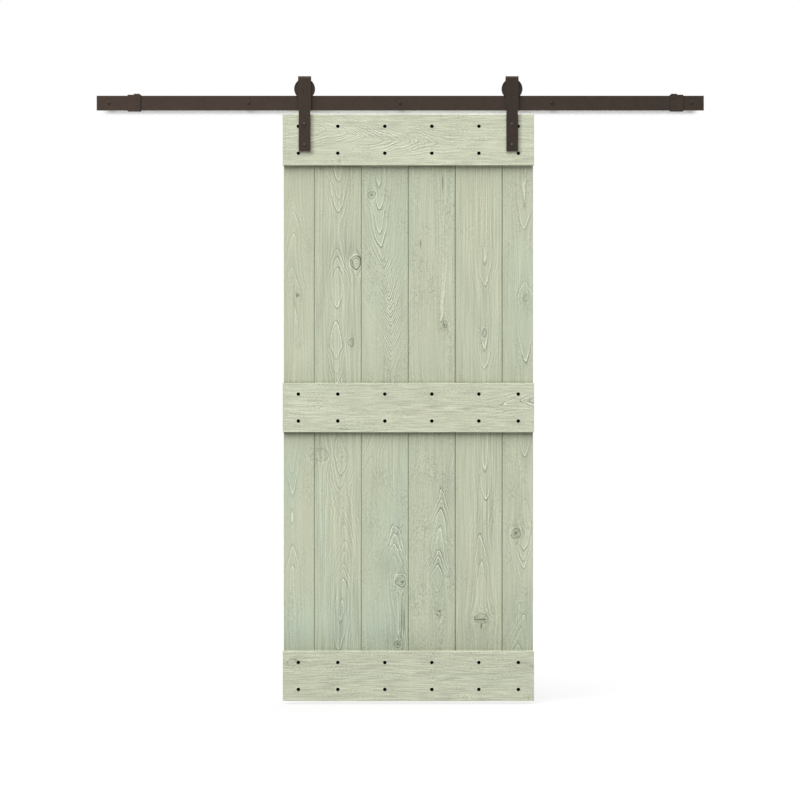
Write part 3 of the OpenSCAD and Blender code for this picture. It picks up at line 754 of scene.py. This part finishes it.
def path(points, along):
    """Smooth curve through listed points."""
    places, values = np.array(points, float).T
    every = np.arange(places[0] - PATH_BLUR, places[-1] + PATH_BLUR)
    window = np.hanning(PATH_BLUR)
    blurred = np.convolve(np.interp(every, places, values), window / window.sum(), mode="same")
    return np.interp(along, every, blurred)


def reach_of(spot, across, along):
    """Distance from a knot or crack, counted in its own half sizes."""
    return np.hypot((across - spot[0]) / spot[2], (along - spot[1]) / spot[3])


def around_knots(across, along, knots):
    """Places across the piece as the grain sees them, spread so that it flows round the knots."""
    moved = across.astype(float)
    for knot in knots:
        reach = reach_of((*knot[:3], FLOW_LENGTH * knot[3]), across, along)
        moved += (knot[0] - across) * knot[4] / np.maximum(reach, 1) ** 2
    return moved


def ring_path(points, along):
    """Rings counted along the axis, steeper where one tops out and flatter between."""
    rings = path(points, along)
    whole = np.rint(rings)
    return whole + 0.5 * np.tanh(TIP_STEEP * 2 * (rings - whole)) / math.tanh(TIP_STEEP)


def ring_count(across, along, depth, grain, seed):
    """Rings counted from the pith: V shapes along the axis, close straight lines beside it."""
    from_axis = around_knots(across, along, grain["knots"]) - path(grain["axis"], along)
    for kind in ("ripple", "fine_ripple"):
        from_axis += drift(kind, across, along, seed)
    from_axis += drift("axis", 0 * across, along, seed)
    climb = (path(grain["rings"], along + 1) - path(grain["rings"], along - 1)) / 2
    lean = TIP_REACH * np.tanh((np.hypot(from_axis, TIP_ROUND) - TIP_ROUND) / TIP_REACH)
    rho = ring_path(grain["rings"], along + TIP_SHEAR * np.tanh(climb / TIP_SLOPE) * lean)
    rho += (np.hypot(from_axis, RING_BOW) - RING_BOW) / RING_STEP + depth / RING_DEPTH
    return rho + drift("ring", across, along, seed)


def ring_slope(across, along, depth, grain, seed, step=0.5):
    """Rings in a millimetre at the steepest, and the share of that which runs lengthways."""
    def count(aside, onwards):
        return ring_count(across + aside, along + onwards, depth, grain, seed)

    sideways = count(step, 0) - count(-step, 0)
    lengthways = count(0, step) - count(0, -step)
    steepest = np.hypot(sideways, lengthways)
    return steepest / (2 * step), np.abs(lengthways) / np.maximum(steepest, 1e-6)


def ring_strength(across, along, rho, slope, turned, grain, seed):
    """How strongly a ring line shows: more at its tip and on the axis, less where crowded."""
    draws = np.random.default_rng(seed + RING_DRAW).uniform(FAINTEST_RING, 1.0, RINGS_KEPT)
    by_ring = draws[np.rint(rho).astype(int) % RINGS_KEPT]
    from_axis = across - path(grain["axis"], along)
    near_axis = np.exp(-(from_axis / path(grain["width"], along)) ** 2)
    on_axis = OFF_AXIS + (1 - OFF_AXIS) * near_axis
    by_place = np.clip(USUAL_PLACE + drift("line", across, along, seed), FAINTEST_PLACE, 1)
    spaced = np.clip(1 / np.maximum(slope, FLATTEST) / CLEAR_STEP - CROWDED, 0, 1)
    at_tip = OFF_TIP + (1 - OFF_TIP) * smoothstep(turned, 0, TIP_TURN)
    strength = BOLD * grain["lines"] * by_ring * on_axis * by_place * spaced * at_tip
    return np.minimum(strength, 1)


def soft_spots(spots, across, along):
    """Sum of soft spots, each as strong as its last value says."""
    strength = np.zeros(len(across))
    for spot in spots:
        strength += spot[4] * np.exp(-reach_of(spot, across, along) ** 2)
    return strength


def knot_fields(across, along, knots, seed):
    """Distance from the nearest knot, counted in its half sizes, and how dark that knot is."""
    reach = np.full(len(across), KNOT_FAR)
    dark = np.zeros(len(across))
    uneven = 1 + drift("knot", across, along, seed)
    for knot in knots:
        own = reach_of(knot, across, along) * uneven
        dark = np.where(own < reach, knot[5], dark)
        reach = np.minimum(reach, own)
    return reach, dark


def crack_field(across, along, cracks):
    """One inside a crack, fading to nothing just outside it."""
    crack = np.zeros(len(across))
    for spot in cracks:
        crack = np.maximum(crack, np.clip(CRACK_REACH - reach_of(spot, across, along), 0, 1))
    return crack


def wood_fields(across, along, depth, grain, seed):
    """What the mesh and the shader of the wood need to know at each point."""
    rho = ring_count(across, along, depth, grain, seed)
    slope, turned = ring_slope(across, along, depth, grain, seed)
    reach, knot = knot_fields(across, along, grain["knots"], seed)
    kinds = ("tint", "shade", "streak", "stipple", "fibre")
    tint, shade, streak, stipple, shift = (drift(kind, across, along, seed) for kind in kinds)
    tint += TINT_SHARE * soft_spots(grain["tints"], across, along)
    shade += path(grain["shade"], along) + soft_spots(grain["stains"], across, along)
    streak += grain["streak"] + soft_spots(grain["combed"], across, along)
    streak += KNOT_STREAK * knot * np.exp(-(reach / KNOT_STREAK_REACH) ** 2)
    stipple += grain["stipple"] + KNOT_STIPPLE * np.exp(-(reach / KNOT_STIPPLE_REACH) ** 2)
    shift += around_knots(across, along, grain["knots"]) - across
    return {
        "rho": rho, "slope": slope, "reach": reach, "knot": knot, "tint": tint, "shade": shade,
        "strength": ring_strength(across, along, rho, slope, turned, grain, seed),
        "crack": crack_field(across, along, grain["cracks"]),
        "streak": np.maximum(streak, LEAST_STREAK),
        "stipple": np.clip(stipple, LEAST_STIPPLE, 1),
        "shift": shift * MM,
    }


# Wood meshes
def end_outline(node, along):
    """Outline of a solid's lowest end face along an axis, as points in order."""
    mesh = NODES[node].data
    mesh.calc_loop_triangles()
    places, joined = np.unique(np.round(corners_of(node), 6), axis=0, return_inverse=True)
    triangles = joined.ravel()[np.array([t.vertices for t in mesh.loop_triangles])]
    on_end = np.abs(places[triangles][:, :, along] - places[:, along].min()) < TOUCH
    sides = [((a, b), (b, c), (c, a)) for a, b, c in triangles[on_end.all(axis=1)]]
    edges = dict.fromkeys(edge for three in sides for edge in three)
    following = {start: end for start, end in edges if (end, start) not in edges}
    first = max(following, key=lambda i: places[i][Y])
    loop = [first]
    while following[loop[-1]] != first:
        loop.append(following[loop[-1]])
    return places[loop]


def divided(outline, front, back):
    """The outline with short steps on the front and longer ones elsewhere."""
    points = []
    for here, there in zip(outline, np.roll(outline, -1, axis=0)):
        nearest, deepest = sorted((here[Y], there[Y]))
        if deepest < front + TOUCH:
            step = FRONT_STEP
        elif nearest > back - TOUCH:
            step = BACK_STEP
        elif deepest < front + VEE_DEPTH:
            step = VEE_STEP
        else:
            step = SIDE_STEP
        count = max(1, math.ceil(np.linalg.norm(there - here) / step))
        points += [here + (there - here) * i / count for i in range(count)]
    return np.array(points)


def stations(low, high, step, knots):
    """Places along a piece: short steps at the ends and at knots, even ones between."""
    places = [low, low + END_EASE]
    while places[-1] < high - END_EASE - 0.5 * step:
        near_knot = any(abs(places[-1] - place) < KNOT_SPAN * half for place, half in knots)
        places.append(places[-1] + (min(step, KNOT_STEP) if near_knot else step))
    while places[-1] > high - END_CLEAR:
        places.pop()
    return np.array(places + [high - END_EASE, high])


class WoodMesh:
    """A long piece: its outline repeated at each station, with holes let into the front."""

    def __init__(self, node, along, step, grain):
        self.along, self.across = along, X if along == Z else Z
        self.low, self.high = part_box(node)
        self.front, self.back = self.low[Y], self.high[Y]
        self.start, self.turn = (self.low[X], 1) if along == X else (self.high[Z], -1)
        spots = grain["knots"] + grain["cracks"]
        knots = [(self.start + self.turn * spot[1] * MM, spot[3] * MM) for spot in spots]
        self.section = divided(end_outline(node, along), self.front, self.back)
        self.places = stations(self.low[along], self.high[along], step, knots)
        self.count, self.rows = len(self.section), len(self.places)
        points = np.repeat(self.section[None], self.rows, axis=0)
        points[:, :, along] = self.places[:, None]
        self.points = list(points.reshape(-1, 3))
        self.open = np.ones((self.rows - 1, self.count), bool)
        self.faces = []
        self.in_hole = {}

    def index(self, row, column):
        return row * self.count + column % self.count

    def patch(self, centre):
        """Opens a patch of the front round a centre and gives the points on its rim in order."""
        sideways = np.abs(self.section[:, self.across] - centre[self.across]) < HOLE_PATCH
        columns = np.nonzero(sideways & (np.abs(self.section[:, Y] - self.front) < TOUCH))[0]
        rows = np.nonzero(np.abs(self.places - centre[self.along]) < HOLE_PATCH)[0]
        left, right, low, high = columns[0], columns[-1], rows[0], rows[-1]
        self.open[low:high, left:right] = False
        rim = [self.index(low, c) for c in range(left, right)]
        rim += [self.index(r, right) for r in range(low, high)]
        rim += [self.index(high, c) for c in range(right, left, -1)]
        return rim + [self.index(r, left) for r in range(high, low, -1)]

    def hole(self, centre, radius):
        """Replaces a patch of the front by a sunk hole for a screw head of the given radius."""
        rings = [(radius + HOLE_EASE + HOLE_WALL, 0.0), (radius + HOLE_WALL, HOLE_LIP),
                 (radius + HOLE_WALL, HOLE_SINK), (radius - HOLE_CONE, HOLE_SINK + HOLE_CONE)]
        loop = self.patch(centre)
        directions = np.array([self.points[i] for i in loop]) - centre
        directions[:, Y] = 0
        directions /= np.linalg.norm(directions, axis=1)[:, None]
        for reach, depth in rings:
            ring = centre + directions * reach
            ring[:, Y] = self.front + depth
            inner = list(range(len(self.points), len(self.points) + len(ring)))
            self.points += list(ring)
            self.in_hole.update(dict.fromkeys(inner, depth))
            for i in range(len(loop)):
                j = (i + 1) % len(loop)
                self.faces.append((loop[i], loop[j], inner[j], inner[i]))
            loop = inner
        self.faces.append(tuple(loop))

    def close(self):
        """Adds the sides and the two ends."""
        for row, column in zip(*np.nonzero(self.open)):
            self.faces.append((self.index(row, column + 1), self.index(row, column),
                               self.index(row + 1, column), self.index(row + 1, column + 1)))
        self.faces.append(tuple(range(self.count)))
        last = (self.rows - 1) * self.count
        self.faces.append(tuple(range(last + self.count - 1, last - 1, -1)))

    def grain_places(self, points):
        """Places across, along and into the piece in millimetres, as the grain counts them."""
        middle = (self.low[self.across] + self.high[self.across]) / 2
        across = (points[:, self.across] - middle) / MM * -self.turn
        lengthways = (points[:, self.along] - self.start) / MM * self.turn
        return across, lengthways, (points[:, Y] - self.front) / MM

    def from_ends(self, points, axis):
        """Distance of each point from the nearer side of the piece on an axis."""
        return np.minimum(points[:, axis] - self.low[axis], self.high[axis] - points[:, axis])


def carve(build, fields, points):
    """Lowers the wood between the ring lines on the front and, less, on the back."""
    offset = (fields["rho"] - np.rint(fields["rho"])) / np.maximum(fields["slope"], FLATTEST)
    ridge = fields["strength"] * np.exp(-(offset / RIDGE_HALF) ** 2)
    knots = KNOT_SINK * fields["knot"] * (1 - smoothstep(fields["reach"], *KNOT_SHOULDER))
    sunk = RELIEF * (1 - ridge) + knots + CRACK_SINK * fields["crack"]
    sunk *= smoothstep(build.from_ends(points, build.across), *EDGE_FADE)
    sunk += np.where(build.from_ends(points, build.along) < TOUCH, END_SINK, 0)
    sunk[list(build.in_hole)] = 0
    on_front = np.abs(points[:, Y] - build.front) < TOUCH
    on_back = np.abs(points[:, Y] - build.back) < TOUCH
    points[:, Y] += np.where(on_front, sunk, 0) * MM - np.where(on_back, BACK_SHARE * sunk, 0) * MM


def joint_tones(build, points, joints):
    """Dark stain deep in the joints between boards, and a painted highlight on the arris above it."""
    depth = points[:, Y] - build.front
    deep = smoothstep(depth, *JOINT_DARK)
    deep *= 1 - smoothstep(points[:, Y] - build.back, *JOINT_BACK)
    arris = smoothstep(depth, *ARRIS_RISE) * (1 - smoothstep(depth, *JOINT_DARK))
    seam, light = np.zeros(len(points)), np.zeros(len(points))
    for place, stain in joints:
        near = np.abs(points[:, build.across] - place) < JOINT_REACH
        seam = np.maximum(seam, stain * near)
        light = np.maximum(light, near)
    return seam * deep, ARRIS_PAINTED_HIGHLIGHT * light * arris


def fade_from(distance, pairs):
    """Sum of fading shades at a distance in metres, nothing where it is below zero."""
    away = np.maximum(distance, 0) / MM
    near = sum(strength * np.exp(-away / reach) for strength, reach in pairs)
    return np.where(distance > -TOUCH, near, 0)


def painted_shade_near_bars(build, points):
    """Painted shade on the front of a board, above and below each bar."""
    shade = np.zeros(len(points))
    for bar in BARS:
        low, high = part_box(bar)
        shade -= fade_from(low[Z] - points[:, Z], PAINTED_SHADOW_UNDER_BARS)
        shade -= fade_from(points[:, Z] - high[Z], PAINTED_SHADE_ABOVE_BARS)
    return shade * (1 - smoothstep(points[:, Y], build.front, build.front + PAINTED_SHADE_DEPTH))


def strap_foot(side):
    """Left, right and lower edge of a strap where it lies on the door."""
    corners = corners_of(f"hanger_strap_{side}")
    bottom = corners[:, Z].min()
    foot = corners[corners[:, Z] < bottom + STRAP_FOOT * MM]
    return foot[:, X].min(), foot[:, X].max(), bottom


def painted_light_and_shade_on_bar(build, points):
    """Painted highlight on the long edges of a bar, and painted shadow beside and below the straps."""
    above, below = build.high[Z] - points[:, Z], points[:, Z] - build.low[Z]
    edge = np.minimum(above, LOWER_EDGE * below) / MM
    shade = PAINTED_EDGE_HIGHLIGHT * np.exp(-((edge - PAINTED_EDGE_HIGHLIGHT_W) / PAINTED_EDGE_HIGHLIGHT_W) ** 2)
    for side in ("left", "right"):
        left, right, bottom = strap_foot(side)
        shift = STRAP_SHIFT * MM
        sideways = np.maximum(left + shift - points[:, X], points[:, X] - right - shift)
        away = np.hypot(np.maximum(sideways, 0), np.maximum(bottom - shift - points[:, Z], 0))
        shade -= PAINTED_STRAP_SHADOW * (1 - smoothstep(away, 0, STRAP_FADE * MM))
    return shade


def mark_holes(build, fields):
    """Painted highlight round the screw holes, and painted shade on their walls, carried in the crack
    field.
    """
    rims = [i for i, depth in build.in_hole.items() if depth == 0]
    walls = [i for i, depth in build.in_hole.items() if depth > 0]
    fields["shade"][rims] += SCREW_RIM_HIGHLIGHT
    fields["crack"][walls] = 1


def wood_mesh(name, build, points, fields):
    """Mesh of the points that faces use, with the fields that the shader reads."""
    used = np.unique(np.concatenate([np.array(face) for face in build.faces]))
    renumber = np.zeros(len(points), int)
    renumber[used] = np.arange(len(used))
    faces = [tuple(renumber[list(face)].tolist()) for face in build.faces]
    mesh = bpy.data.meshes.new(name)
    mesh.from_pydata(points[used].tolist(), [], faces)
    for vector, columns in STORED_FIELDS.items():
        values = np.column_stack([fields[column][used] for column in columns])
        attribute = mesh.attributes.new(vector, "FLOAT_VECTOR", "POINT")
        attribute.data.foreach_set("vector", values.astype(np.float32).ravel())
    tidy_normals(mesh)
    return mesh


def wood_piece(name, node, along, step, slot, seed, holes=(), joints=()):
    """Makes a board or bar with its grain and lets it stand for the solid."""
    grain = {**PLAIN_GRAIN, **GRAIN[node]}
    build = WoodMesh(node, along, step, grain)
    for centre, radius in holes:
        build.hole(centre, radius)
    build.close()
    points = np.array(build.points)
    fields = wood_fields(*build.grain_places(points), grain, seed)
    # Painted light and shade near the bars and straps, added to the shade field
    painted_near = painted_light_and_shade_on_bar if node in BARS else painted_shade_near_bars
    fields["shade"] += painted_near(build, points)
    # Painted highlight round the screw holes and painted shade inside them
    mark_holes(build, fields)
    fields["seam"], arris = joint_tones(build, points, joints)
    # The arris takes a painted highlight
    fields["shade"] += arris
    carve(build, fields, points)
    fields["strength"][build.from_ends(points, along) < TOUCH] = 0
    fields["shift"] *= -build.turn
    mesh = wood_mesh(name, build, points, fields)
    mesh.materials.append(FINISHES[slot])
    piece = placed(name, mesh)
    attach(piece, "door")
    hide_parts(node)


def tidy_normals(mesh):
    """Turns all faces outwards and keeps only real edges sharp."""
    shape = bmesh.new()
    shape.from_mesh(mesh)
    bmesh.ops.recalc_face_normals(shape, faces=shape.faces)
    shape.to_mesh(mesh)
    shape.free()
    mesh.shade_smooth()
    mesh.set_sharp_from_angle(angle=SMOOTH_ANGLE)


def screw_heads(node):
    """Middles and radii of the screw heads, from the islands of the screws' solid."""
    corners = corners_of(node)
    spots = []
    for corner in corners[corners[:, Y] < corners[:, Y].min() + TOUCH]:
        group = [s for s in spots if np.hypot(*(s[0] - corner)[[X, Z]]) < 2 * HOLE_PATCH]
        if group:
            group[0].append(corner)
        else:
            spots.append([corner])
    lows, highs = (np.array([f(s, axis=0) for s in spots]) for f in (np.min, np.max))
    return list(zip((lows + highs) / 2, (highs - lows)[:, X] / 2))


def wood_pieces():
    """The boards from the left and the bars from the top, each with a seed of its own."""
    for i in range(BOARDS):
        board = f"board_{i + 1}"
        low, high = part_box(board)
        joints = [(low[X], JOINT_STAIN[i]), (high[X], JOINT_STAIN[i + 1])]
        wood_piece(f"pine_{board}", board, Z, BOARD_STEP, "stained_board",
                   BOARD_SEED + SEED_STEP * i, joints=joints)
    for i, bar in enumerate(BARS):
        wood_piece(f"pine_{bar}", bar, X, BAR_STEP, "stained_bar", BAR_SEED + SEED_STEP * i,
                   holes=screw_heads(f"{bar}_screws"))


# Studio
def seen_by_eye(s):
    """One for rays from the camera, from gloss and through glass."""
    rays = s.add("LightPath").outputs
    mirrored = s.maths("MAXIMUM", rays["Is Glossy Ray"], rays["Is Transmission Ray"])
    return s.maths("MAXIMUM", rays["Is Camera Ray"], mirrored)


def make_world():
    """White to the eye, and a softer white as light."""
    world = bpy.data.worlds.new("studio")
    bpy.context.scene.world = world
    s = Shader(world)
    white = (1.0, 1.0, 1.0, 1.0)
    soft = s.add("Background", {"Color": white, "Strength": AMBIENT})
    plain = s.add("Background", {"Color": white, "Strength": 1.0})
    both = s.add("MixShader", {0: seen_by_eye(s), 1: soft.outputs[0], 2: plain.outputs[0]})
    s.add("OutputWorld", {"Surface": both.outputs[0]})


def pale_stage(name, glow, albedo, fades=()):
    """Pale sheet that keeps shadows on its front, lets light through and fades along axes."""
    s = Shader(bpy.data.materials.new(name))
    front = s.maths("SUBTRACT", 1.0, s.add("NewGeometry").outputs["Backfacing"])
    share = s.times(seen_by_eye(s), front)
    for axis, clear_at, full_at in fades:
        distance = s.maths("ABSOLUTE", s.split(s.place())[axis])
        share = s.times(share, s.ramp(distance, clear_at, full_at))
    clear = s.add("BsdfTransparent")
    light = s.add("Emission", {"Strength": glow})
    paint = s.add("BsdfDiffuse", {"Color": (albedo, albedo, albedo, 1.0)})
    sheet = s.add("AddShader", {0: light.outputs[0], 1: paint.outputs[0]})
    both = s.add("MixShader", {0: share, 1: clear.outputs[0], 2: sheet.outputs[0]})
    s.add("OutputMaterial", {"Surface": both.outputs[0]})
    return s.owner


def sheet(name, corners, material):
    mesh = bpy.data.meshes.new(name)
    mesh.from_pydata(corners, [], [(0, 1, 2, 3)])
    mesh.materials.append(material)
    piece = placed(name, mesh)


def rectangle(left, right, low, high):
    return [(left, low), (right, low), (right, high), (left, high)]


def make_stage():
    """Pale floor under the door, and a narrow backdrop behind the lower edge of the track."""
    floor_z = CAD_BOX[0][Z] - FLOOR_GAP
    floor = rectangle(-FLOOR_HALF, FLOOR_HALF, -FLOOR_HALF, FLOOR_HALF)
    sheet("floor", [(x, y, floor_z) for x, y in floor], pale_stage("pale_floor", *FLOOR_PAINT))
    rail_low, rail_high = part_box("track_rail")
    top, bottom = rail_low[Z] + BACKDROP_UP, rail_low[Z] - BACKDROP_DOWN
    wide = rail_high[X] - BACKDROP_INSET
    back = [(x, BACKDROP_Y, z) for x, z in rectangle(-wide, wide, bottom, top)]
    fades = [(Z, -bottom, -rail_low[Z]), (X, wide, wide - BACKDROP_FADE)]
    sheet("backdrop", back, pale_stage("pale_backdrop", *BACKDROP_PAINT, fades))


def sun(name, azimuth, elevation, strength, angle):
    """Soft sunlight from a side and a height, in degrees."""
    lamp = bpy.data.lights.new(name, "SUN")
    lamp.energy = strength
    lamp.angle = math.radians(angle)
    holder = placed(name, lamp)
    holder.rotation_euler = (math.radians(90 - elevation), 0, math.radians(azimuth))


def make_camera():
    """Camera in front of the door, as the photograph sees it."""
    lens = bpy.data.cameras.new("camera")
    lens.lens = CAMERA_LENS
    lens.sensor_width = CAMERA_SENSOR
    holder = placed("camera", lens)
    holder.location = CAMERA_PLACE
    holder.rotation_euler = (math.radians(90), 0, 0)
    bpy.context.scene.camera = holder


make_camera()
make_world()
sun("key", KEY_AZIMUTH, KEY_ELEVATION, KEY_STRENGTH, KEY_ANGLE)
sun("rear", REAR_AZIMUTH, REAR_ELEVATION, REAR_STRENGTH, KEY_ANGLE)
make_stage()
finish_metal()
wood_pieces()
bpy.context.scene.view_settings.view_transform = "Standard"
